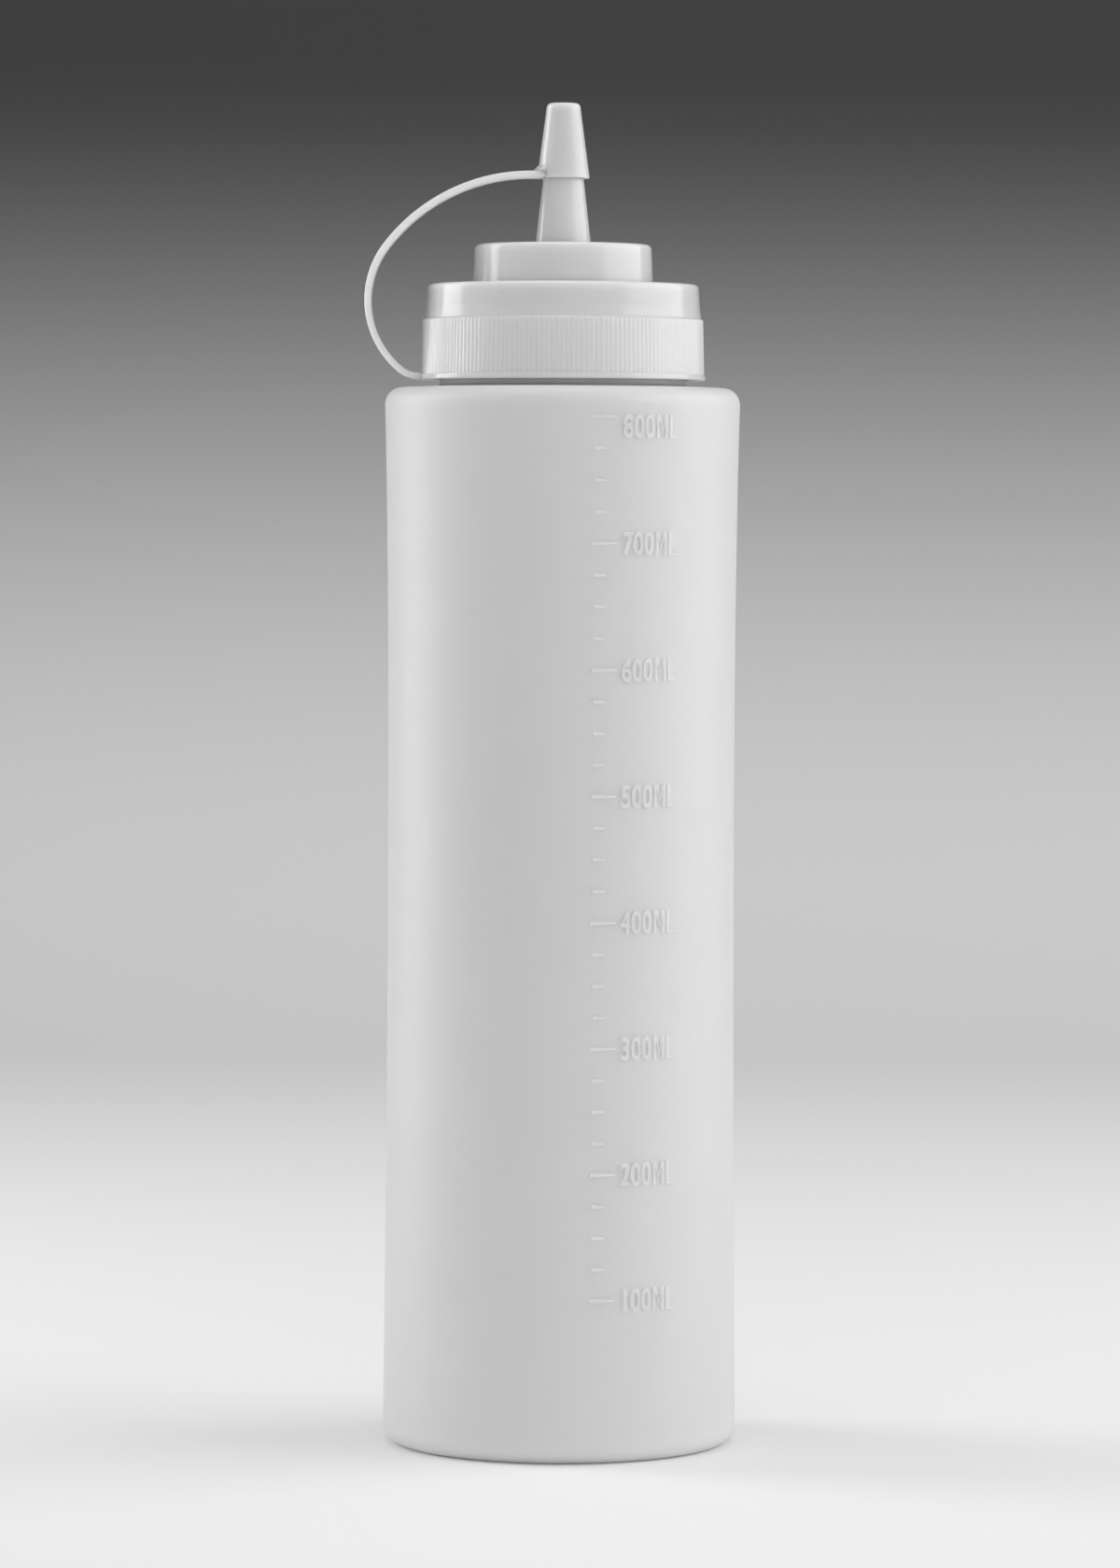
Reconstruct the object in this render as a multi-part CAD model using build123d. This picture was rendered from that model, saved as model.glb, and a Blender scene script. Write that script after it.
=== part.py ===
from build123d import *
from math import cos, radians, sin, tan
import os

# Squeeze bottle for sauce: a waisted blow-moulded bottle, a stepped screw lid with a tapered
# nozzle, and a tip cap that hangs on the lid by a flexible strap.
# Millimetres and degrees. +Z up, origin on the axis in the plane that the bottle stands on.
# The strap leaves the lid towards -X and lies in the XZ plane.

os.makedirs("parts", exist_ok=True)

# Bottle
body_r = 37.0               # at the heel and at the shoulder
waist_r = 36.15
waist_z = 140.0
body_wall = 1.2
heel_round = 4.0
foot_width = 2.0            # flat ring that the bottle stands on
push_up = 3.5               # hollow of the base, at its middle
shoulder_z = 221.0          # where the shoulder meets the neck
shoulder_fall = 0.4         # drop of the shoulder from the neck to its edge
shoulder_round = 3.5
neck_wall = 1.6
neck_height = 18.6
neck_root_round = 0.6
rim_round = 0.4

# Lid
skirt_gap = 1.3             # height of neck left bare below the skirt
land_r = 29.75              # plain ring at the foot of the skirt, the lid's widest
land_height = 1.1
skirt_wall = 2.55           # at the plain ring
thread_room = 1.6           # from the skirt's inside to the bare neck
grip_inset = 0.25           # finely ribbed band, in from the plain ring
grip_draft = 0.25           # narrowing of the band over its height
grip_height = 11.3
ledge_inset = 0.4           # sloping ledge above the band
ledge_height = 0.4
collar_draft = 0.35         # plain collar that narrows to the upper wall
collar_height = 2.4
deck_draft = 0.25           # narrowing of the upper wall, from the collar to the deck
deck_round = 0.8
lid_wall = 1.4
drum_foot_r = 18.75         # small upper step of the lid
drum_head_r = 18.4
drum_height = 8.3
drum_round = 0.9
drum_root_round = 0.5
plug_length = 3.0           # lip that enters the bottle's mouth
plug_wall = 1.2
plug_lead = 0.5
plug_clearance = 0.1

# Seal ring
seal_thickness = 1.2
seal_clearance = 0.15       # round the lid's plug
seal_play = 0.3             # inside the skirt

# Nozzle
nozzle_foot_r = 5.8
nozzle_taper = 6.5          # half angle, below the tip cap
nozzle_free_height = 13.8   # from the drum's top to the tip cap's rim
nozzle_root_round = 0.8
spout_height = 7.0          # part of the nozzle inside the tip cap
spout_taper = 14.0          # half angle there, so that the tip cap can swing off
spout_round = 0.4
nozzle_wall = 1.15
spout_wall = 0.8
outlet_r = 1.5
outlet_length = 1.6

# Tip cap
cap_fit = 0.04              # radial clearance between the rim and the nozzle
cap_wall = 1.2
cap_height = 15.6
cap_taper = 7.5             # half angle, outside
cap_bore_taper = 6.5        # half angle, inside
cap_roof = 1.4
cap_crown_round = 1.1
cap_ceiling_round = 0.5
cap_web = 1.2               # web between the strap and the cap's wall

# Strap
strap_width = 8.0
strap_thickness = 1.4
strap_root_round = 6.5      # centreline radius beside the skirt
strap_root_turn = 40.0
strap_side_turn = 87.5      # turn of the long outer bow
strap_lead = 1.3            # straight run that enters the tip cap
strap_root_stub = 1.6       # length that stays with the lid
strap_cap_stub = 1.6        # curved length that stays with the tip cap
strap_tip_length = 17.7     # from the fold line to the end in the tip cap

# Worked out
rim_z = shoulder_z + neck_height
skirt_in_r = land_r - skirt_wall
neck_r = skirt_in_r - thread_room
mouth_r = neck_r - neck_wall
skirt_z = shoulder_z + skirt_gap
land_top_z = skirt_z + land_height
grip_top_z = land_top_z + grip_height
collar_z = grip_top_z + ledge_height
collar_top_z = collar_z + collar_height
grip_foot_r = land_r - grip_inset
grip_head_r = grip_foot_r - grip_draft
collar_foot_r = grip_head_r - ledge_inset
collar_head_r = collar_foot_r - collar_draft
deck_r = collar_head_r - deck_draft
roof_z = rim_z + seal_thickness         # underside of the lid's deck
deck_z = roof_z + lid_wall
drum_z = deck_z + drum_height
cap_rim_z = drum_z + nozzle_free_height
spout_z = cap_rim_z + spout_height
nozzle_cap_r = nozzle_foot_r - nozzle_free_height * tan(radians(nozzle_taper))
spout_r = nozzle_cap_r - spout_height * tan(radians(spout_taper))
plug_r = mouth_r - plug_clearance
cap_bore_r = nozzle_cap_r + cap_fit
cap_rim_r = cap_bore_r + cap_wall
strap_root = (-land_r, skirt_z + strap_thickness / 2)


def rounded(face, corners):
    """Fillet the corners of an XZ face, given as (radius, height, fillet)."""
    for r, z, size in corners:
        face = fillet(face.vertices().sort_by_distance((r, 0, z))[0], size)
    return face


def revolved(points, corners=()):
    """Turn a closed outline of (radius, height) points about the Z axis."""
    face = Plane.XZ * make_face(Polyline(*points, close=True))
    return revolve(rounded(face, corners), Axis.Z)


def vessel(inset, opening_r, top_z):
    """The bottle's form moved inwards by inset, with a plain neck up to top_z."""
    side_r = body_r - inset
    foot_r = body_r - heel_round - foot_width
    edge_z = shoulder_z - shoulder_fall - inset
    root_z = shoulder_z - inset
    apex = (0, push_up + inset)
    waist = (waist_r - inset, waist_z)
    outline = Curve() + [
        TangentArc(apex, (foot_r, inset), tangent=(1, 0)),
        Line((foot_r, inset), (side_r, inset)),
        TangentArc(waist, (side_r, inset), tangent=(0, -1)),
        TangentArc(waist, (side_r, edge_z), tangent=(0, 1)),
        Polyline((side_r, edge_z), (opening_r, root_z), (opening_r, top_z), (0, top_z), apex),
    ]
    corners = [
        (side_r, inset, heel_round - inset),
        (side_r, edge_z, shoulder_round - inset),
        (opening_r, root_z, neck_root_round),
    ]
    return revolve(rounded(Plane.XZ * make_face(outline), corners), Axis.Z)


def bottle():
    """Waisted bottle with a hollow base and an open neck."""
    shell = vessel(0, neck_r, rim_z) - vessel(body_wall, mouth_r, rim_z + 1)
    rim = shell.edges().filter_by(GeomType.CIRCLE).group_by(Axis.Z)[-1]
    return fillet(rim, rim_round)


def lid():
    """Stepped screw lid with its nozzle, its sealing plug and the strap's first stub."""
    inner_drum_r = drum_head_r - lid_wall
    drum_roof_z = drum_z - lid_wall
    throat_r = spout_r - spout_wall
    lip_z = roof_z - plug_length
    outline = [
        (skirt_in_r, skirt_z), (land_r, skirt_z), (land_r, land_top_z),
        (grip_foot_r, land_top_z), (grip_head_r, grip_top_z),
        (collar_foot_r, collar_z), (collar_head_r, collar_top_z), (deck_r, deck_z),
        (drum_foot_r, deck_z), (drum_head_r, drum_z),
        (nozzle_foot_r, drum_z), (nozzle_cap_r, cap_rim_z), (spout_r, spout_z),
        (outlet_r, spout_z), (outlet_r, spout_z - outlet_length), (throat_r, spout_z - outlet_length),
        (nozzle_cap_r - nozzle_wall, cap_rim_z), (nozzle_foot_r - nozzle_wall, drum_roof_z),
        (inner_drum_r, drum_roof_z), (inner_drum_r, roof_z),
        (plug_r - plug_wall, roof_z), (plug_r - plug_wall, lip_z),
        (plug_r - plug_lead, lip_z), (plug_r, lip_z + 2 * plug_lead),
        (plug_r, roof_z), (skirt_in_r, roof_z),
    ]
    corners = [
        (deck_r, deck_z, deck_round),
        (drum_foot_r, deck_z, drum_root_round),
        (drum_head_r, drum_z, drum_round),
        (nozzle_foot_r, drum_z, nozzle_root_round),
        (spout_r, spout_z, spout_round),
        (inner_drum_r, drum_roof_z, drum_root_round),
    ]
    root_x, root_z = strap_root
    tongue = Pos(root_x / 2, 0, root_z) * Box(-root_x, strap_width, strap_thickness)
    tongue -= Pos(0, 0, root_z) * Cylinder(skirt_in_r, 2 * strap_thickness)
    return revolved(outline, corners) + tongue + strap_piece(0, strap_root_stub)


def seal_ring():
    """Flat ring pressed between the bottle's rim and the lid."""
    inner_r = plug_r + seal_clearance
    outer_r = skirt_in_r - seal_play
    return revolved([(inner_r, rim_z), (outer_r, rim_z), (outer_r, roof_z), (inner_r, roof_z)])


def tip_cap():
    """Tapered cap over the nozzle, with the strap's last stub webbed to its wall."""
    top_z = cap_rim_z + cap_height
    ceiling_z = top_z - cap_roof
    crown_r = cap_rim_r - cap_height * tan(radians(cap_taper))
    ceiling_r = cap_bore_r - (cap_height - cap_roof) * tan(radians(cap_bore_taper))
    shell = revolved(
        [(0, cap_rim_z), (cap_rim_r, cap_rim_z), (crown_r, top_z), (0, top_z)],
        [(crown_r, top_z, cap_crown_round)],
    )
    bore = revolved(
        [(0, cap_rim_z), (cap_bore_r, cap_rim_z), (ceiling_r, ceiling_z), (0, ceiling_z)],
        [(ceiling_r, ceiling_z, cap_ceiling_round)],
    )
    tab_z = cap_rim_z + strap_thickness
    tab_wall_r = cap_rim_r - strap_thickness * tan(radians(cap_taper))
    web_wall_r = tab_wall_r - cap_web * tan(radians(cap_taper))
    web_top_z = tab_z + cap_web
    web = revolved([
        (0, tab_z), (tab_wall_r + cap_web, tab_z), (web_wall_r, web_top_z), (0, web_top_z),
    ])
    reach = cap_rim_r + strap_lead
    band = Pos(-reach / 2, 0, cap_rim_z) * Box(reach, strap_width, 2 * cap_height)
    tab = Pos(-reach / 2, 0, tab_z - strap_thickness / 2) * Box(reach, strap_width, strap_thickness)
    length = strap_curve().length
    return shell + tab + (web & band) - bore + strap_piece(length - strap_cap_stub, length)


def strap_curve():
    """Centreline of the closed strap, from the lid's skirt over to the tip cap's rim.

    It leaves the skirt level, turns up beside it, bows round, and enters the rim level. The last
    two radii follow from the rise and the reach that are left.
    """
    root_x, root_z = strap_root
    side_heading = radians(180 - strap_root_turn)
    top_heading = radians(180 - strap_root_turn - strap_side_turn)
    rise = cap_rim_z + strap_thickness / 2 - root_z - strap_root_round * (1 + cos(side_heading))
    reach = strap_root_round * sin(side_heading) - root_x - cap_rim_r - strap_lead
    side_rise = cos(top_heading) - cos(side_heading)
    side_reach = sin(side_heading) - sin(top_heading)
    top_rise = 1 - cos(top_heading)
    top_reach = sin(top_heading)
    spread = side_rise * top_reach - top_rise * side_reach
    side_round = (rise * top_reach - top_rise * reach) / spread
    top_round = (side_rise * reach - side_reach * rise) / spread
    with BuildLine(Plane.XZ) as line:
        root = JernArc(strap_root, (-1, 0), strap_root_round, -strap_root_turn)
        side = JernArc(root @ 1, root % 1, side_round, -strap_side_turn)
        JernArc(side @ 1, side % 1, top_round, strap_root_turn + strap_side_turn - 180)
    return line.wire()


def strap_piece(start, end):
    """The strap between two distances along its centreline."""
    line = strap_curve()
    span = line.trim(start / line.length, end / line.length)
    section = Plane(span @ 0, (0, 1, 0), span % 0) * Rectangle(strap_width, strap_thickness)
    return sweep(section, span)


strap_length = strap_curve().length
fold_at = strap_length - strap_tip_length

parts = {
    "bottle": bottle(),
    "lid": lid(),
    "seal_ring": seal_ring(),
    "strap_lower": strap_piece(strap_root_stub, fold_at),
    "strap_upper": strap_piece(fold_at, strap_length - strap_cap_stub),
    "tip_cap": tip_cap(),
}
for name, shape in parts.items():
    export_step(shape, f"parts/{name}.step")
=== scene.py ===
import bpy
from math import atan2, cos, degrees, pi, radians, sin, sqrt, tan
from mathutils import Matrix, Vector


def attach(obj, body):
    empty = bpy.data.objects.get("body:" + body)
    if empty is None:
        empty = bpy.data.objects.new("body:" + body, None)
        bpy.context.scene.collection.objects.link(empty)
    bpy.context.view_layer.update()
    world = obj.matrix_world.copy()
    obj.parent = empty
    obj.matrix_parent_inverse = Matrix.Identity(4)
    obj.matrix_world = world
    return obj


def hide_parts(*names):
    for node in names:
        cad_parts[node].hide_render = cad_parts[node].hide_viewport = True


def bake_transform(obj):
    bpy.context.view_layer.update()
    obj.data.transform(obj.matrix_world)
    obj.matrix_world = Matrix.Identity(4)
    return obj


# Squeeze bottle for sauce: the milky bottle with its raised scale, the ribbed screw lid with
# its nozzle and seal, and the tip cap on its strap.
# Sizes are in millimetres and degrees, and go into Blender through mm.

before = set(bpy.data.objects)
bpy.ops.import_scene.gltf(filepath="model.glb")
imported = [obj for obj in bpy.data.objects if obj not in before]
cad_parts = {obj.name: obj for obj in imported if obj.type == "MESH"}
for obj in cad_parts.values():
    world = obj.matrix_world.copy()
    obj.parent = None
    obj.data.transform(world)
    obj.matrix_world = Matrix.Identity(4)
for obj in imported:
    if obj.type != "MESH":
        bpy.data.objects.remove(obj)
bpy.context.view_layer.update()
bpy.context.scene.view_settings.view_transform = "Standard"

mm = 0.001
same_point = 0.002          # points nearer than this are merged
smooth_angle = 32.0         # faces that meet flatter than this are shaded as one

# Bottle
body_r = 37.0
waist_r = 36.15
waist_z = 140.0
body_wall = 1.2
heel_round = 4.0
foot_width = 2.0
push_up = 3.5
shoulder_z = 221.0
shoulder_fall = 0.4
shoulder_round = 3.5
neck_r = 25.6
neck_wall = 1.6
rim_z = 239.6
seam_length = 46.0          # weld left by the mould across the base
seam_width = 0.7
seam_height = 0.35
seam_round = 0.2

# Screw of the neck and of the lid
screw_lead = 25.4 / 6
screw_turns = 1.5
neck_screw_z = 226.0
screw_height = 1.25
screw_width = 1.7
screw_sink = 0.3            # how far its root goes into the wall
screw_crest = 0.45          # crest's width against the root's
screw_steps = 120           # sections in a turn
screw_run_in = 25.0         # its crest starts to rise this far before its foot
screw_fade = 42.0           # and is at full height this much later

# Lid
skirt_in_r = 27.2
skirt_z = 222.3
land_r = 29.75
land_top_z = 223.4
grip_foot_r = 29.5
grip_head_r = 29.25
grip_top_z = 234.7
collar_foot_r = 28.85
collar_z = 235.1
collar_head_r = 28.5
collar_top_z = 237.5
deck_r = 28.25
deck_z = 242.2
lid_wall = 1.4
drum_foot_r = 18.75
drum_head_r = 18.4
drum_z = 250.5
plug_r = 23.9
plug_wall = 1.2
plug_length = 3.0
rib_count = 180
rib_depth = 0.13
steps_per_rib = 4

# Nozzle and tip cap
nozzle_foot_r = 5.8
cap_rim_z = 264.3
nozzle_taper = 6.5
spout_height = 7.0
spout_taper = 14.0
nozzle_wall = 1.15
spout_wall = 0.8
outlet_r = 1.5
outlet_length = 1.6
cap_fit = 0.04
cap_wall = 1.2
cap_height = 15.6
cap_taper = 7.5
cap_bore_taper = 6.5
cap_roof = 1.4
cap_web = 1.2

# Seal ring
seal_clearance = 0.15
seal_play = 0.3

# Strap
strap_width = 8.0
strap_thickness = 1.4
strap_edge_round = 0.3
strap_root_round = 6.5
strap_root_turn = 40.0
strap_side_turn = 87.5
strap_lead = 1.3            # straight run before the cap
strap_root_sink = 1.2       # how far it goes into the lid's land
strap_end_sink = 0.5        # and into the cap's wall

# Scale on the bottle
scale_foot_z = 33.8         # mark for 100
scale_step = 25.8           # from one numbered mark to the next
mark_azimuth = 9.4          # left end of the marks, from the front towards the right
short_mark_azimuth = 10.0
mark_length = 5.4
short_mark_length = 2.6
mark_width = 0.95
mark_rise = 0.38
mark_taper = 0.55           # right end's width against the left end's
label_azimuth = 18.8        # left end of the numbers
label_height = 4.9
label_width = 13.2
letter_stroke = 0.62
letter_gap = 0.5            # before the M and before the L
m_width = 2.7
l_width = 1.95
digits_width = 7.15
chamfer = 0.13              # slope on the front rim of marks and numbers
font_size = 10.0
font_depth = 0.14
font_bold = 0.18            # how far the font's outline is set out
font_rim = 0.12             # slope round it
font_spacing = 1.04
digit_squeeze = 0.46        # digits' width against the font's
top_label_drop = 1.9        # the highest number stands below its mark

# Plastics
scatter_depth = 4.0         # how far light wanders in the wall
cloud_size = 14.0
gloss_patch = 5.0
grain_size = 0.5
ripple_size = 9.0

# Worked out
roof_z = rim_z + 1.2
mouth_r = neck_r - neck_wall
nozzle_cap_r = nozzle_foot_r - (cap_rim_z - drum_z) * tan(radians(nozzle_taper))
spout_z = cap_rim_z + spout_height
spout_r = nozzle_cap_r - spout_height * tan(radians(spout_taper))
cap_bore_r = nozzle_cap_r + cap_fit
cap_rim_r = cap_bore_r + cap_wall


# ---------------------------------------------------------------- tools

def deselect():
    if bpy.context.mode != "OBJECT":
        bpy.ops.object.mode_set(mode="OBJECT")
    bpy.ops.object.select_all(action="DESELECT")


def edit(obj, mode="VERT"):
    """Open obj for editing with nothing selected."""
    deselect()
    obj.select_set(True)
    bpy.context.view_layer.objects.active = obj
    bpy.ops.object.mode_set(mode="EDIT")
    bpy.ops.mesh.select_mode(type=mode)
    bpy.ops.mesh.select_all(action="DESELECT")


def pick(obj, wanted):
    """Select the vertices of obj that wanted(point in mm) says, with obj open for editing."""
    bpy.ops.mesh.select_all(action="DESELECT")
    bpy.ops.object.mode_set(mode="OBJECT")
    for vertex in obj.data.vertices:
        vertex.select = wanted(vertex.co / mm)
    bpy.ops.object.mode_set(mode="EDIT")


def settle(obj, name):
    """Name obj and put its place, turn and scale into its mesh."""
    deselect()
    obj.select_set(True)
    bpy.context.view_layer.objects.active = obj
    bpy.ops.object.transform_apply(location=True, rotation=True, scale=True)
    obj.name = obj.data.name = name
    return obj


def pick_edges(obj, wanted):
    """Select the edges of obj that wanted(end, other end) says, with obj open for editing."""
    bpy.ops.object.mode_set(mode="OBJECT")
    points = obj.data.vertices
    for edge in obj.data.edges:
        edge.select = wanted(*[points[i].co / mm for i in edge.vertices])
    bpy.ops.object.mode_set(mode="EDIT")


def finish_mesh(obj):
    """Merge doubles, face everything outwards and shade by angle."""
    edit(obj)
    bpy.ops.mesh.select_all(action="SELECT")
    bpy.ops.mesh.remove_doubles(threshold=same_point * mm)
    bpy.ops.mesh.normals_make_consistent(inside=False)
    bpy.ops.object.mode_set(mode="OBJECT")
    bpy.ops.object.shade_smooth_by_angle(angle=radians(smooth_angle))
    return obj


def apply_modifiers(obj):
    deselect()
    obj.select_set(True)
    bpy.context.view_layer.objects.active = obj
    for modifier in list(obj.modifiers):
        bpy.ops.object.modifier_apply(modifier=modifier.name)
    return obj


def combine(obj, tool, operation):
    """Join tool to obj, or cut or trim obj by it, and take tool away."""
    boolean = obj.modifiers.new("combine", "BOOLEAN")
    boolean.operation = operation
    boolean.solver = "EXACT"
    boolean.object = tool
    apply_modifiers(obj)
    bpy.data.objects.remove(tool)
    return obj


def rounded(corners, steps=6, closed=False):
    """Outline through (radius, height, round) corners, where each round becomes an arc."""
    outline = []
    for i, (r, z, size) in enumerate(corners):
        here = Vector((r, z))
        if not size:
            outline.append(here)
            continue
        back = (Vector(corners[i - 1][:2]) - here).normalized()
        ahead = (Vector(corners[(i + 1) % len(corners)][:2]) - here).normalized()
        half = back.angle(ahead) / 2
        centre = here + (back + ahead).normalized() * size / sin(half)
        first = here + back * size / tan(half) - centre
        last = here + ahead * size / tan(half) - centre
        turn = (atan2(last.y, last.x) - atan2(first.y, first.x) + pi) % (2 * pi) - pi
        outline += [centre + Matrix.Rotation(turn * k / steps, 2) @ first for k in range(steps + 1)]
    return outline + outline[:1] if closed else outline


def turned(name, outline, sides, repeats=1, shape=None):
    """Draw half a section point by point and spin it: one slice, shaped, then its copies all round."""
    deselect()
    bpy.ops.mesh.primitive_plane_add(size=mm, location=(outline[0].x * mm, 0, outline[0].y * mm))
    obj = settle(bpy.context.object, name)
    edit(obj)
    bpy.ops.mesh.select_all(action="SELECT")
    bpy.ops.mesh.merge(type="CENTER")
    for here, there in zip(outline, outline[1:]):
        step = (there - here) * mm
        bpy.ops.mesh.extrude_vertices_move(TRANSFORM_OT_translate={"value": (step.x, 0, step.y)})
    slice_turn = 2 * pi / repeats
    bpy.ops.mesh.select_all(action="SELECT")
    bpy.ops.mesh.spin(steps=sides // repeats, angle=slice_turn, center=(0, 0, 0), axis=(0, 0, 1))
    if shape:
        shape(obj)
    if repeats > 1:
        bpy.ops.mesh.select_all(action="SELECT")
        bpy.ops.mesh.spin(steps=repeats - 1, angle=2 * pi - slice_turn, dupli=True,
                          center=(0, 0, 0), axis=(0, 0, 1))
    return finish_mesh(obj)


def side_radius(z, inset=0):
    """Radius of the bottle's side at height z: narrowest at the waist, widest at its ends."""
    end_z = 0 if z < waist_z else shoulder_z - shoulder_fall
    reach = end_z - waist_z
    flare = body_r - waist_r
    arc_r = (flare * flare + reach * reach) / (2 * flare)
    return waist_r - inset + arc_r - sqrt(arc_r * arc_r - (z - waist_z) ** 2)


# ---------------------------------------------------------------- bottle

def vessel_outline(inset, opening_r):
    """The bottle's section from the middle of the base up to the neck's root, inset inwards."""
    foot_r = body_r - heel_round - foot_width
    arc_r = (foot_r ** 2 + push_up ** 2) / (2 * push_up)
    base = [Vector((r, push_up + inset - arc_r + sqrt(arc_r ** 2 - r ** 2)))
            for r in (0, 4, 8, 12, 16, 20, 24, 27, 29)]
    side_r = side_radius(heel_round, inset)
    edge_z = shoulder_z - shoulder_fall - inset
    edge_r = side_radius(edge_z, inset)
    heel = rounded([(foot_r - 1, inset, 0), (foot_r, inset, 0),
                    (side_r, inset, heel_round - inset), (side_r, heel_round + 1, 0)], 12)[1:-1]
    side = [Vector((side_radius(z, inset), z)) for z in range(12, 216, 12)]
    shoulder = rounded([(edge_r, edge_z - 8, 0), (edge_r, edge_z, shoulder_round - inset),
                        (opening_r, shoulder_z - inset, 0.6), (opening_r, shoulder_z + 4, 0)], 10)[1:-1]
    return base + heel + side + shoulder


def bottle_shell():
    """Blown bottle: a thin wall all round, an open neck and a hollowed base."""
    outside = vessel_outline(0, neck_r)
    inside = vessel_outline(body_wall, mouth_r)
    rim = rounded([(neck_r, rim_z - 5, 0), (neck_r, rim_z, 0.4),
                   (mouth_r, rim_z, 0.4), (mouth_r, rim_z - 5, 0)])
    return turned("bottle_shell", outside + rim + inside[::-1], 360, repeats=30)


def base_seam():
    """Low weld ridge that follows the hollow of the base."""
    foot_r = body_r - heel_round - foot_width
    arc_r = (foot_r ** 2 + push_up ** 2) / (2 * push_up)
    half_turn = seam_length / 2 / arc_r
    deselect()
    bpy.ops.mesh.primitive_plane_add(size=1, rotation=(0, pi / 2 - half_turn, 0))
    seam = bpy.context.object
    seam.scale = (2 * seam_height * mm, seam_width * mm, 1)
    seam.location = (-arc_r * sin(half_turn) * mm, 0, (push_up - arc_r * (1 - cos(half_turn))) * mm)
    settle(seam, "base_seam")
    edit(seam)
    bpy.ops.mesh.select_all(action="SELECT")
    bpy.ops.mesh.bevel(offset=seam_round * mm, segments=3, affect="VERTICES")
    bpy.ops.mesh.select_all(action="SELECT")
    bpy.ops.mesh.spin(steps=24, angle=2 * half_turn,
                      center=(0, 0, (push_up - arc_r) * mm), axis=(0, -1, 0))
    return finish_mesh(seam)


def screw(name, root_r, crest_r, foot_z, width):
    """Right-hand screw ridge between two radii, whose crest slopes down to the root at both ends."""
    deselect()
    bpy.ops.mesh.primitive_plane_add(size=1, rotation=(pi / 2, 0, 0))
    ridge = bpy.context.object
    ridge.scale = ((crest_r - root_r) * mm, width * mm, 1)
    ridge.location = ((crest_r + root_r) / 2 * mm, 0, foot_z * mm)
    settle(ridge, name)
    edit(ridge)
    pick(ridge, lambda p: abs(p.x - crest_r) < 0.01)
    bpy.ops.transform.resize(value=(1, 1, screw_crest), center_override=(0, 0, foot_z * mm))
    bpy.ops.mesh.select_all(action="SELECT")
    turn = 2 * pi / screw_steps
    climb = screw_lead / screw_steps
    steps = int(screw_turns * screw_steps)
    for _ in range(steps):
        bpy.ops.mesh.extrude_region_move(TRANSFORM_OT_translate={"value": (0, 0, climb * mm)})
        bpy.ops.transform.rotate(value=-turn, orient_axis="Z", center_override=(0, 0, 0))
    half_crest = screw_crest * width / 2
    for i in range(steps + 1):
        way = Vector((cos(i * turn), sin(i * turn), 0))
        for rise in (i * climb - half_crest, i * climb + half_crest):
            from_end = min(rise, screw_turns * screw_lead - rise) / screw_lead * 360
            share = max(0, (from_end + screw_run_in) / screw_fade)
            if share < 1:
                corner = crest_r * way + Vector((0, 0, foot_z + rise))
                pick(ridge, lambda p: (p - corner).length < 0.01)
                bpy.ops.transform.resize(value=(share, share, 1), center_override=root_r * way * mm)
    return finish_mesh(ridge)


# ---------------------------------------------------------------- scale

def wrapped(obj, azimuth, z, name):
    """Bend a flat piece that faces the front round the bottle's side, its left end at azimuth."""
    radius = side_radius(z)
    left = min(v.co.x for v in obj.data.vertices)
    right = max(v.co.x for v in obj.data.vertices)
    obj.location = (-(left + right) / 2, 0, 0)
    settle(obj, name)
    edit(obj)
    bpy.ops.mesh.select_all(action="SELECT")
    bpy.ops.mesh.quads_convert_to_tris()
    bpy.ops.object.mode_set(mode="OBJECT")
    turn = (right - left) / (radius * mm)
    bend = obj.modifiers.new("round the bottle", "SIMPLE_DEFORM")
    bend.deform_method = "BEND"
    bend.deform_axis = "Z"
    bend.angle = turn
    apply_modifiers(obj)
    middle = radians(azimuth) + turn / 2
    obj.location = Matrix.Rotation(middle, 3, "Z") @ Vector((0, -radius * mm, 0)) + Vector((0, 0, z * mm))
    obj.rotation_euler = (0, 0, middle)
    return settle(obj, name)


def joined(objects, name):
    """Make one object of several that don't touch."""
    deselect()
    for obj in objects:
        obj.select_set(True)
    bpy.context.view_layer.objects.active = objects[0]
    bpy.ops.object.join()
    return settle(bpy.context.object, name)


def chamfered(obj):
    """Slope the front rim of a flat raised piece."""
    edit(obj, "EDGE")
    bpy.ops.mesh.edges_select_sharp(sharpness=radians(20))
    bpy.ops.object.mode_set(mode="OBJECT")
    points = obj.data.vertices
    for edge in obj.data.edges:
        edge.select = edge.select and all(points[i].co.y < 0 for i in edge.vertices)
    bpy.ops.object.mode_set(mode="EDIT")
    bpy.ops.mesh.bevel(offset=chamfer * mm, segments=1, affect="EDGES")
    bpy.ops.object.mode_set(mode="OBJECT")
    return obj


def bar(length, name):
    """Raised bar with round ends that narrows to the right, flat, its left end at zero."""
    deselect()
    bpy.ops.mesh.primitive_cube_add(size=1)
    rod = bpy.context.object
    rod.scale = (length * mm, 2 * mark_rise * mm, mark_width * mm)
    settle(rod, name)
    edit(rod, "EDGE")
    pick_edges(rod, lambda a, b: abs(a.y - b.y) > mark_rise)
    bpy.ops.mesh.bevel(offset=0.45 * mark_width * mm, segments=5, affect="EDGES")
    pick(rod, lambda p: p.x > 0)
    bpy.ops.transform.resize(value=(1, 1, mark_taper), center_override=(0, 0, 0))
    bpy.ops.object.mode_set(mode="OBJECT")
    rod.location = (length / 2 * mm, 0, 0)
    return chamfered(finish_mesh(settle(rod, name)))


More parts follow.
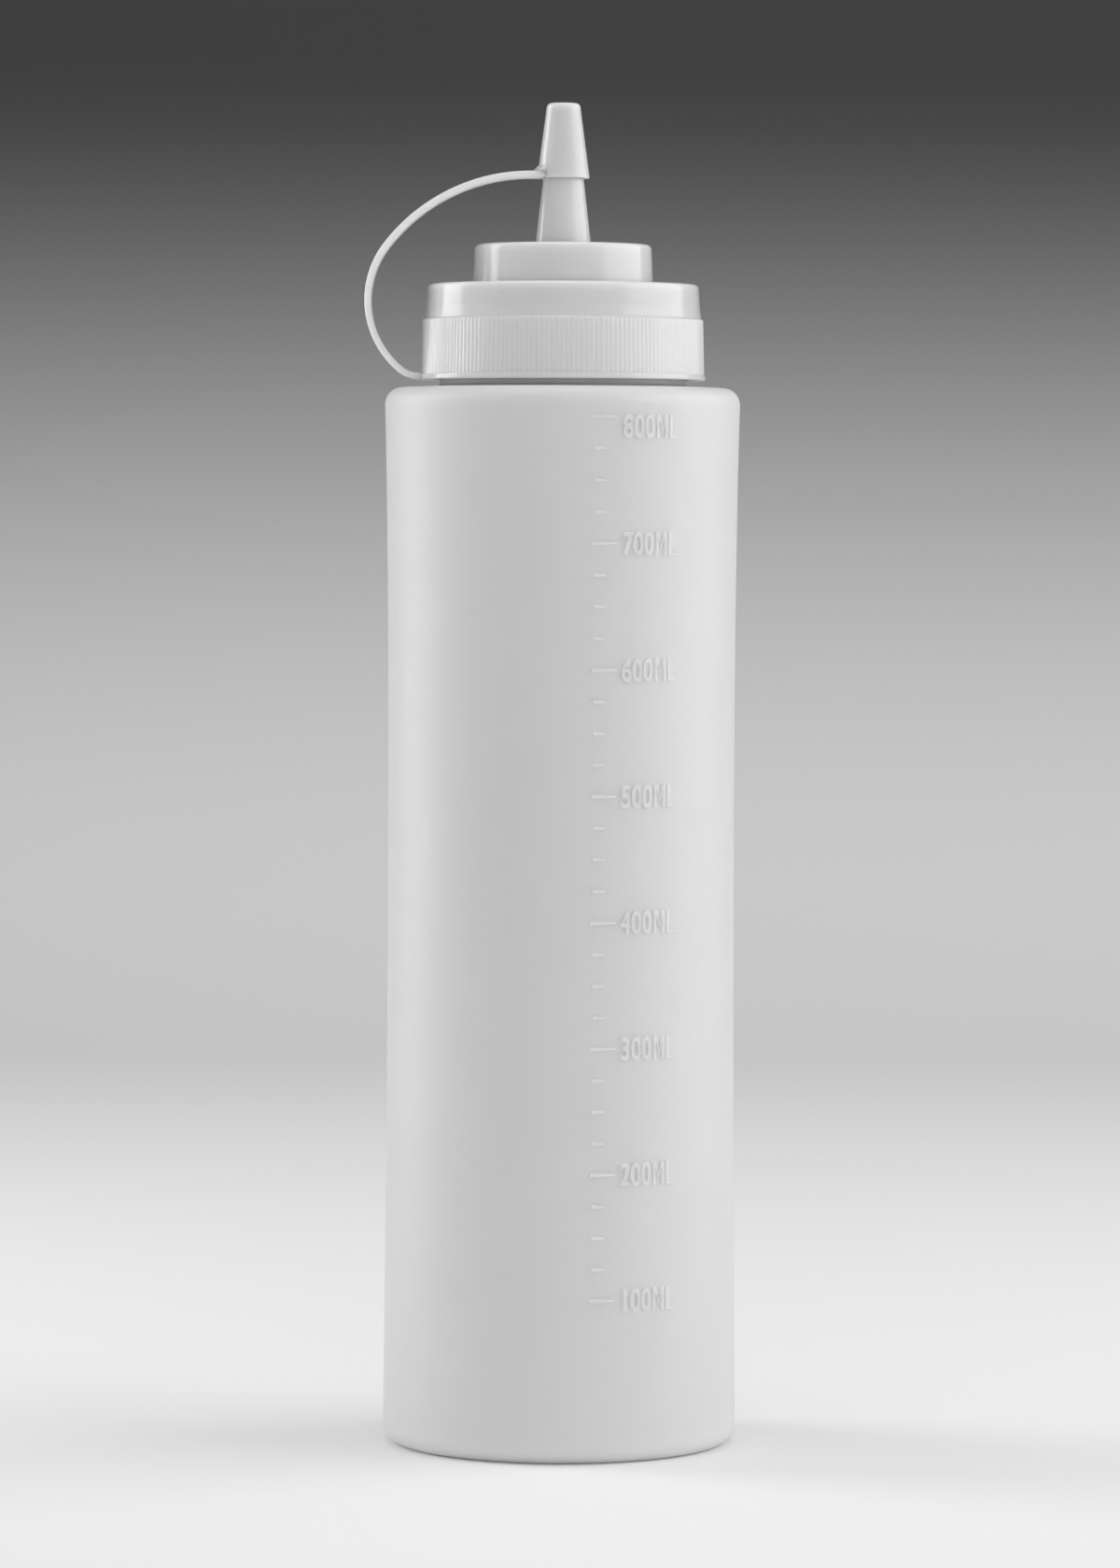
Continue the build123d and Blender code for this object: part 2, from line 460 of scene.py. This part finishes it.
def plate(outline, left, foot, depth, name):
    """Flat letter: its outline is drawn point by point from left and foot on, filled and thickened."""
    deselect()
    x, z = outline[0]
    bpy.ops.mesh.primitive_plane_add(size=mm, location=((left + x) * mm, -depth * mm, (foot + z) * mm))
    letter = settle(bpy.context.object, name)
    edit(letter)
    bpy.ops.mesh.select_all(action="SELECT")
    bpy.ops.mesh.merge(type="CENTER")
    for here, there in zip(outline, outline[1:]):
        step = ((there[0] - here[0]) * mm, 0, (there[1] - here[1]) * mm)
        bpy.ops.mesh.extrude_vertices_move(TRANSFORM_OT_translate={"value": step})
    bpy.ops.mesh.select_all(action="SELECT")
    bpy.ops.mesh.edge_face_add()
    bpy.ops.mesh.select_all(action="SELECT")
    bpy.ops.mesh.extrude_region_move(TRANSFORM_OT_translate={"value": (0, 2 * depth * mm, 0)})
    return finish_mesh(letter)


def letter_m(left, foot):
    """M between two uprights, its middle point a quarter of its height above its foot."""
    w, h, half = letter_stroke, label_height, m_width / 2
    outline = [(0, 0), (0, h), (1.15 * w, h), (half, 0.25 * h + 1.6 * w),
               (m_width - 1.15 * w, h), (m_width, h), (m_width, 0), (m_width - w, 0),
               (m_width - w, h - 2.2 * w), (half, 0.25 * h), (w, h - 2.2 * w), (w, 0)]
    return chamfered(plate(outline, left, foot, mark_rise, "letter_m"))


def letter_l(left, foot):
    w, h = letter_stroke, label_height
    outline = [(0, 0), (0, h), (w, h), (w, w), (l_width, w), (l_width, 0)]
    return chamfered(plate(outline, left, foot, mark_rise, "letter_l"))


def digit_4(left, foot):
    """The 4, drawn here because the font's own folds over itself once it is made bold."""
    outline = [(0, 1.49), (0, 1.99), (1.64, 4.9), (1.98, 4.9), (1.98, 2.37), (2.32, 2.37), (2.32, 1.49),
               (1.98, 1.49), (1.98, 0), (1.33, 0), (1.33, 1.49)]
    opening = [(0.74, 2.37), (1.33, 2.37), (1.33, 3.42)]
    digit = plate(outline, left, foot, mark_rise, "digit_4")
    return chamfered(combine(digit, plate(opening, left, foot, 2 * mark_rise, "opening"), "DIFFERENCE"))


def digits(words, right, foot, name):
    """Bold condensed digits from the built-in font, flat, up to their right end."""
    deselect()
    bpy.ops.object.text_add(rotation=(pi / 2, 0, 0))
    text = bpy.context.object
    text.data.body = words
    text.data.size = font_size * mm
    text.data.extrude = font_depth * mm
    text.data.offset = font_bold * mm
    text.data.bevel_depth = font_rim * mm
    text.data.bevel_resolution = 0
    text.data.space_character = font_spacing
    text.data.resolution_u = 4
    bpy.ops.object.convert(target="MESH")
    text = settle(bpy.context.object, name)
    low = Vector(map(min, *[tuple(v.co) for v in text.data.vertices]))
    high = Vector(map(max, *[tuple(v.co) for v in text.data.vertices]))
    size = high - low
    text.location = (-high.x, -(low.y + high.y) / 2, -low.z)
    settle(text, name)
    text.scale = (digit_squeeze, 2 * mark_rise * mm / size.y, label_height * mm / size.z)
    text.location = (right * mm, 0, foot * mm)
    settle(text, name)
    edit(text)
    bpy.ops.mesh.select_all(action="SELECT")
    bpy.ops.mesh.remove_doubles(threshold=same_point * mm)
    bpy.ops.object.mode_set(mode="OBJECT")
    return text


def level(words, left, drop, name):
    """Long mark with its left end at zero and its number from left on, flat; drop lowers the number."""
    foot = -label_height / 2 - drop
    right = left + label_width
    digits_right = right - l_width - m_width - 2 * letter_gap
    parts = [digits(words.replace("4", " "), digits_right, foot, name), bar(mark_length, name),
             letter_m(digits_right + letter_gap, foot), letter_l(right - l_width, foot)]
    if words[0] == "4":
        parts.append(digit_4(digits_right - digits_width, foot))
    return joined(parts, name)


def scale_on_bottle():
    """Numbered marks for each 100, and three short marks between them."""
    levels = []
    for i in range(8):
        z = scale_foot_z + i * scale_step
        left = radians(label_azimuth - mark_azimuth) * side_radius(z)
        drop = top_label_drop if i == 7 else 0
        name = f"level_{i}"
        levels.append(wrapped(level(f"{i + 1}00", left, drop, name), mark_azimuth, z, name))
        if i < 7:
            for k in (1, 2, 3):
                name = f"short_{i}_{k}"
                short_z = z + scale_step * k / 4
                levels.append(wrapped(bar(short_mark_length, name), short_mark_azimuth, short_z, name))
    return joined(levels, "scale")


# ---------------------------------------------------------------- lid

def lid_shell():
    """Stepped lid: skirt with fine ribs, deck, drum and hollow nozzle."""
    drum_roof_z = drum_z - lid_wall
    throat_r = spout_r - spout_wall
    inner_drum_r = drum_head_r - lid_wall
    lip_z = roof_z - plug_length
    corners = [
        (skirt_in_r, skirt_z, 0.2), (land_r, skirt_z, 0.25), (land_r, land_top_z, 0.12),
        (grip_foot_r, land_top_z, 0), (grip_head_r, grip_top_z, 0),
        (collar_foot_r, collar_z, 0.1), (collar_head_r, collar_top_z, 0.2), (deck_r, deck_z, 0.9),
        (drum_foot_r, deck_z, 0.5), (drum_head_r, drum_z, 1.0),
        (nozzle_foot_r, drum_z, 0.8), (nozzle_cap_r, cap_rim_z, 0), (spout_r, spout_z, 0.4),
        (outlet_r, spout_z, 0.15), (outlet_r, spout_z - outlet_length, 0),
        (throat_r, spout_z - outlet_length, 0),
        (nozzle_cap_r - nozzle_wall, cap_rim_z, 0), (nozzle_foot_r - nozzle_wall, drum_roof_z, 0.4),
        (inner_drum_r, drum_roof_z, 0.5), (inner_drum_r, roof_z, 0.3),
        (plug_r - plug_wall, roof_z, 0), (plug_r - plug_wall, lip_z, 0.3),
        (plug_r - 0.5, lip_z, 0), (plug_r, lip_z + 1, 0), (plug_r, roof_z, 0),
        (skirt_in_r, roof_z, 0.5), (skirt_in_r, skirt_z + 2, 0),
    ]

    def cut_groove(obj):
        """Press the slice's middle columns of the grip inwards, which leaves a rib on both sides."""
        def in_groove(p):
            on_grip = grip_head_r - 0.01 < p.xy.length < grip_foot_r + 0.01
            column = abs(atan2(p.y, p.x)) / (2 * pi) * rib_count * steps_per_rib
            return on_grip and land_top_z - 0.01 < p.z < grip_top_z + 0.01 and 0.5 < column < 2.5
        pick(obj, in_groove)
        narrow = 1 - rib_depth / grip_foot_r
        bpy.ops.transform.resize(value=(narrow, narrow, 1), center_override=(0, 0, 0))

    return turned("lid_shell", rounded(corners, 5, closed=True), rib_count * steps_per_rib,
                  repeats=rib_count, shape=cut_groove)


def seal_ring():
    corners = [(plug_r + seal_clearance, rim_z, 0.2), (skirt_in_r - seal_play, rim_z, 0.2),
               (skirt_in_r - seal_play, roof_z, 0.2), (plug_r + seal_clearance, roof_z, 0.2)]
    return turned("seal", rounded(corners, 4, closed=True), 180)


# ---------------------------------------------------------------- tip cap

def tip_cap_shell():
    """Tapered cap, hollow from below."""
    top_z = cap_rim_z + cap_height
    ceiling_z = top_z - cap_roof
    crown_r = cap_rim_r - cap_height * tan(radians(cap_taper))
    ceiling_r = cap_bore_r - (cap_height - cap_roof) * tan(radians(cap_bore_taper))
    outline = rounded([(0, top_z, 0), (crown_r, top_z, 1.0), (cap_rim_r, cap_rim_z, 0.2),
                       (cap_bore_r, cap_rim_z, 0.1), (ceiling_r, ceiling_z, 0.5), (0, ceiling_z, 0)])
    return finish_mesh(combine(turned("tip_cap_shell", outline, 180), cap_web_wedge(), "UNION"))


def cap_web_wedge():
    """Small fillet round the cap's wall, as wide as the strap, that carries the strap's end."""
    tab_z = cap_rim_z + strap_thickness
    wall_r = cap_rim_r - strap_thickness * tan(radians(cap_taper))
    foot_z = tab_z - 0.2
    root_r = wall_r - strap_end_sink
    corners = [(root_r, foot_z, 0), (wall_r + cap_web, foot_z, 0), (wall_r + cap_web, tab_z, 0.1),
               (wall_r, tab_z + cap_web, 0.3), (root_r, tab_z + cap_web, 0)]
    web = turned("cap_web", rounded(corners, 4, closed=True), 180)
    deselect()
    bpy.ops.mesh.primitive_cube_add(size=1)
    band = bpy.context.object
    reach = cap_rim_r + cap_web + 1
    band.scale = (reach * mm, (strap_width - 0.4) * mm, 4 * cap_web * mm)
    band.location = (-reach / 2 * mm, 0, tab_z * mm)
    settle(band, "band")
    edit(band, "EDGE")
    bpy.ops.mesh.select_all(action="SELECT")
    bpy.ops.mesh.bevel(offset=0.15 * mm, segments=2, affect="EDGES")
    bpy.ops.object.mode_set(mode="OBJECT")
    return combine(web, band, "INTERSECT")


# ---------------------------------------------------------------- strap

def strap_arcs():
    """The three arcs of the strap's centreline as (centre x, centre z, turn), all turning clockwise."""
    root_x, root_z = -land_r, skirt_z + strap_thickness / 2
    side_heading = radians(180 - strap_root_turn)
    top_heading = radians(180 - strap_root_turn - strap_side_turn)
    rise = cap_rim_z + strap_thickness / 2 - root_z - strap_root_round * (1 + cos(side_heading))
    reach = strap_root_round * sin(side_heading) - root_x - cap_rim_r - strap_lead
    side_rise = cos(top_heading) - cos(side_heading)
    side_reach = sin(side_heading) - sin(top_heading)
    top_rise = 1 - cos(top_heading)
    top_reach = sin(top_heading)
    spread = side_rise * top_reach - top_rise * side_reach
    side_round = (rise * top_reach - top_rise * reach) / spread
    top_round = (side_rise * reach - side_reach * rise) / spread
    arcs = []
    x, z, heading = root_x, root_z, pi
    turns = (strap_root_turn, strap_side_turn, 180 - strap_root_turn - strap_side_turn)
    for radius, turn in zip((strap_root_round, side_round, top_round), turns):
        centre_x, centre_z = x + radius * sin(heading), z - radius * cos(heading)
        heading -= radians(turn)
        x, z = centre_x - radius * sin(heading), centre_z + radius * cos(heading)
        arcs.append((centre_x, centre_z, radians(turn)))
    return arcs


def strap():
    """Flat strip with soft edges, swept round three arcs from the lid's foot to the tip cap's rim."""
    root_z = skirt_z + strap_thickness / 2
    deselect()
    bpy.ops.mesh.primitive_plane_add(size=1, rotation=(0, pi / 2, 0))
    strip = bpy.context.object
    strip.scale = (strap_thickness * mm, strap_width * mm, 1)
    strip.location = (-(land_r - strap_root_sink) * mm, 0, root_z * mm)
    settle(strip, "strap")
    edit(strip)
    bpy.ops.mesh.select_all(action="SELECT")
    bpy.ops.mesh.bevel(offset=strap_edge_round * mm, segments=3, affect="VERTICES")
    bpy.ops.mesh.select_mode(type="FACE")
    bpy.ops.mesh.select_all(action="SELECT")
    bpy.ops.mesh.extrude_region_move(TRANSFORM_OT_translate={"value": (-strap_root_sink * mm, 0, 0)})
    for centre_x, centre_z, turn in strap_arcs():
        bpy.ops.mesh.spin(steps=max(6, int(degrees(turn) / 1.5)), angle=turn,
                          center=(centre_x * mm, 0, centre_z * mm), axis=(0, -1, 0))
    reach = strap_lead + cap_rim_r
    bpy.ops.mesh.extrude_region_move(TRANSFORM_OT_translate={"value": (reach * mm, 0, 0)})
    finish_mesh(strip)
    deselect()
    bpy.ops.mesh.primitive_cylinder_add(vertices=180, radius=(cap_rim_r - strap_end_sink) * mm,
                                        depth=4 * strap_thickness * mm, location=(0, 0, cap_rim_z * mm))
    return finish_mesh(combine(strip, settle(bpy.context.object, "cap_room"), "DIFFERENCE"))


# ---------------------------------------------------------------- materials

def plastic(name, colour, roughness, uneven, scatter, clear, grain):
    """Milky polythene under a moulded skin.

    scatter is the share of light that wanders in the wall, and clear the share that goes
    straight through; uneven is how far the gloss varies, and grain the skin's depth.
    """
    material = bpy.data.materials.new(name)
    material.use_nodes = True
    nodes, links = material.node_tree.nodes, material.node_tree.links
    skin = nodes["Principled BSDF"]
    skin.inputs["Subsurface Weight"].default_value = scatter
    skin.inputs["Subsurface Radius"].default_value = (1.0, 0.97, 0.94)
    skin.inputs["Subsurface Scale"].default_value = scatter_depth * mm
    skin.inputs["Transmission Weight"].default_value = clear
    skin.inputs["IOR"].default_value = 1.5
    where = nodes.new("ShaderNodeTexCoord")

    def noise(size_mm, detail):
        node = nodes.new("ShaderNodeTexNoise")
        node.inputs["Scale"].default_value = 1 / (size_mm * mm)
        node.inputs["Detail"].default_value = detail
        links.new(where.outputs["Object"], node.inputs["Vector"])
        return node

    def spread(node, low, high):
        band = nodes.new("ShaderNodeMapRange")
        band.inputs["From Min"].default_value = 0.3
        band.inputs["From Max"].default_value = 0.7
        band.inputs["To Min"].default_value = low
        band.inputs["To Max"].default_value = high
        links.new(node.outputs["Fac"], band.inputs["Value"])
        return band

    cloud = spread(noise(cloud_size, 3), 0, 1)
    tint = nodes.new("ShaderNodeMix")
    tint.data_type = "RGBA"
    tint.inputs["A"].default_value = (*[c * 0.985 for c in colour], 1)
    tint.inputs["B"].default_value = (*colour, 1)
    links.new(cloud.outputs["Result"], tint.inputs["Factor"])
    links.new(tint.outputs["Result"], skin.inputs["Base Color"])
    skin.inputs["Roughness"].default_value = roughness
    if uneven:
        sheen = spread(noise(gloss_patch, 4), roughness - uneven, roughness + uneven)
        links.new(sheen.outputs["Result"], skin.inputs["Roughness"])
    fine = nodes.new("ShaderNodeBump")
    fine.inputs["Strength"].default_value = 0.25
    fine.inputs["Distance"].default_value = grain * mm
    links.new(noise(grain_size, 4).outputs["Fac"], fine.inputs["Height"])
    wavy = nodes.new("ShaderNodeBump")
    wavy.inputs["Strength"].default_value = 0.3
    wavy.inputs["Distance"].default_value = 3 * grain * mm
    links.new(noise(ripple_size, 1).outputs["Fac"], wavy.inputs["Height"])
    links.new(fine.outputs["Normal"], wavy.inputs["Normal"])
    links.new(wavy.outputs["Normal"], skin.inputs["Normal"])
    return material


def dress(obj, material, slot, body, *nodes):
    """Give obj its material, the body it moves with and the solids it stands for. The slot is not used.
    """
    obj.data.materials.clear()
    obj.data.materials.append(material)
    if body:
        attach(obj, body)
    if nodes:
        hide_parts(*nodes)


bottle_plastic = plastic("bottle_polythene", (0.785, 0.77, 0.763), roughness=0.45, uneven=0.04,
                         scatter=1.0, clear=0.12, grain=0.05)
lid_plastic = plastic("lid_polythene", (0.735, 0.725, 0.722), roughness=0.14, uneven=0.0,
                      scatter=1.0, clear=0.1, grain=0.02)
seal_rubber = plastic("seal_silicone", (0.65, 0.65, 0.63), roughness=0.5, uneven=0.05,
                      scatter=0.0, clear=0.0, grain=0.03)

blown = combine(bottle_shell(), base_seam(), "UNION")
neck_screw = screw("neck_screw", neck_r - screw_sink, neck_r + screw_height, neck_screw_z, screw_width)
blown = combine(combine(blown, neck_screw, "UNION"), scale_on_bottle(), "UNION")
dress(finish_mesh(blown), bottle_plastic, "bottle_plastic", "bottle", "bottle")
lid_screw = screw("lid_screw", skirt_in_r + screw_sink, skirt_in_r - screw_height,
                  neck_screw_z + screw_lead / 2, screw_width)
dress(finish_mesh(combine(lid_shell(), lid_screw, "UNION")), lid_plastic, "lid_plastic", "lid", "lid")
dress(seal_ring(), seal_rubber, "seal_rubber", "seal_ring", "seal_ring")
dress(tip_cap_shell(), lid_plastic, "lid_plastic", "tip_cap", "tip_cap")
tether = strap()
dress(tether, lid_plastic, "lid_plastic", None, "strap_lower", "strap_upper")
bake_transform(tether)


# ---------------------------------------------------------------- studio, in metres and watts

floor_tone = (0.86, 0.86, 0.865)
# painted shade: the wall's colour darkens from the floor's tone to this one with height, in place of
# light falling off
painted_wall_shade = (0.055, 0.055, 0.056)
painted_shade_foot_z = 0.03         # where the painted shade on the wall starts
painted_shade_head_z = 0.4
sweep_length = 6.0
sweep_round = 0.9
wall_y = 1.8
wall_height = 3.0


def backdrop():
    """Pale floor that sweeps up into the wall behind the bottle, with painted shade that darkens the wall
    towards its top.
    """
    deselect()
    bpy.ops.mesh.primitive_plane_add(size=sweep_length, location=(0, wall_y - sweep_length / 2, 0))
    sweep = bpy.context.object
    settle(sweep, "studio_sweep")
    edit(sweep)
    pick(sweep, lambda p: p.y > 0)
    bpy.ops.mesh.extrude_region_move(TRANSFORM_OT_translate={"value": (0, 0, wall_height)})
    pick(sweep, lambda p: p.y > 0 and p.z < 1)
    bpy.ops.mesh.bevel(offset=sweep_round, segments=24, affect="EDGES")
    bpy.ops.object.mode_set(mode="OBJECT")
    bpy.ops.object.shade_smooth()
    paint = bpy.data.materials.new("studio_paper_painted_shade")
    paint.use_nodes = True
    shader = paint.node_tree.nodes["Principled BSDF"]
    shader.inputs["Roughness"].default_value = 0.9
    nodes, links = paint.node_tree.nodes, paint.node_tree.links
    where = nodes.new("ShaderNodeTexCoord")
    split = nodes.new("ShaderNodeSeparateXYZ")
    rise = nodes.new("ShaderNodeMapRange")
    rise.interpolation_type = "SMOOTHSTEP"
    rise.inputs["From Min"].default_value = painted_shade_foot_z
    rise.inputs["From Max"].default_value = painted_shade_head_z
    # painted shade: mixes the floor's tone into the near black painted wall shade as the height rises
    shade = nodes.new("ShaderNodeMix")
    shade.data_type = "RGBA"
    shade.inputs["A"].default_value = (*floor_tone, 1)
    shade.inputs["B"].default_value = (*painted_wall_shade, 1)
    links.new(where.outputs["Object"], split.inputs["Vector"])
    links.new(split.outputs["Z"], rise.inputs["Value"])
    links.new(rise.outputs["Result"], shade.inputs["Factor"])
    links.new(shade.outputs["Result"], shader.inputs["Base Color"])
    sweep.data.materials.append(paint)


def softbox(name, place, aim, width, height, watts, mirrored=True):
    """Rectangular lamp. One that isn't mirrored lights the piece but leaves no reflection on it."""
    deselect()
    bpy.ops.object.light_add(type="AREA", location=place)
    lamp = bpy.context.object
    lamp.name = name
    lamp.data.shape = "RECTANGLE"
    lamp.data.size = width
    lamp.data.size_y = height
    lamp.data.energy = watts
    lamp.visible_glossy = mirrored
    lamp.rotation_euler = (Vector(aim) - Vector(place)).to_track_quat("-Z", "Y").to_euler()


backdrop()
softbox("softbox_right", (0.86, -0.02, 0.45), (0, 0, 0.1), 1.1, 0.9, 5.2)
softbox("softbox_left", (-0.76, 0.25, 0.3), (0, 0, 0.15), 0.4, 0.9, 3.7)
softbox("softbox_top", (0, 0.1, 1.3), (0, 0, 0.2), 0.8, 0.8, 3.2)
softbox("softbox_front", (0.1, -1.8, 0.12), (0, 0, 0.06), 0.8, 0.3, 6, mirrored=False)

world = bpy.context.scene.world or bpy.data.worlds.new("studio")
bpy.context.scene.world = world
world.use_nodes = True
sky = world.node_tree.nodes["Background"]
sky.inputs["Color"].default_value = (0.8, 0.8, 0.81, 1)
sky.inputs["Strength"].default_value = 0.75

deselect()
bpy.ops.object.camera_add(location=(-0.00025, -1.35, 0.2))
camera = bpy.context.object
camera.data.lens = 148.3
camera.data.sensor_width = 36
pitch_down = radians(2.63)
roll = radians(0.21)
tilt = Matrix.Rotation(pi / 2 - pitch_down, 3, "X")
camera.rotation_euler = (tilt @ Matrix.Rotation(roll, 3, "Z")).to_euler()
bpy.context.scene.camera = camera
bpy.context.scene.cycles.diffuse_bounces = 12
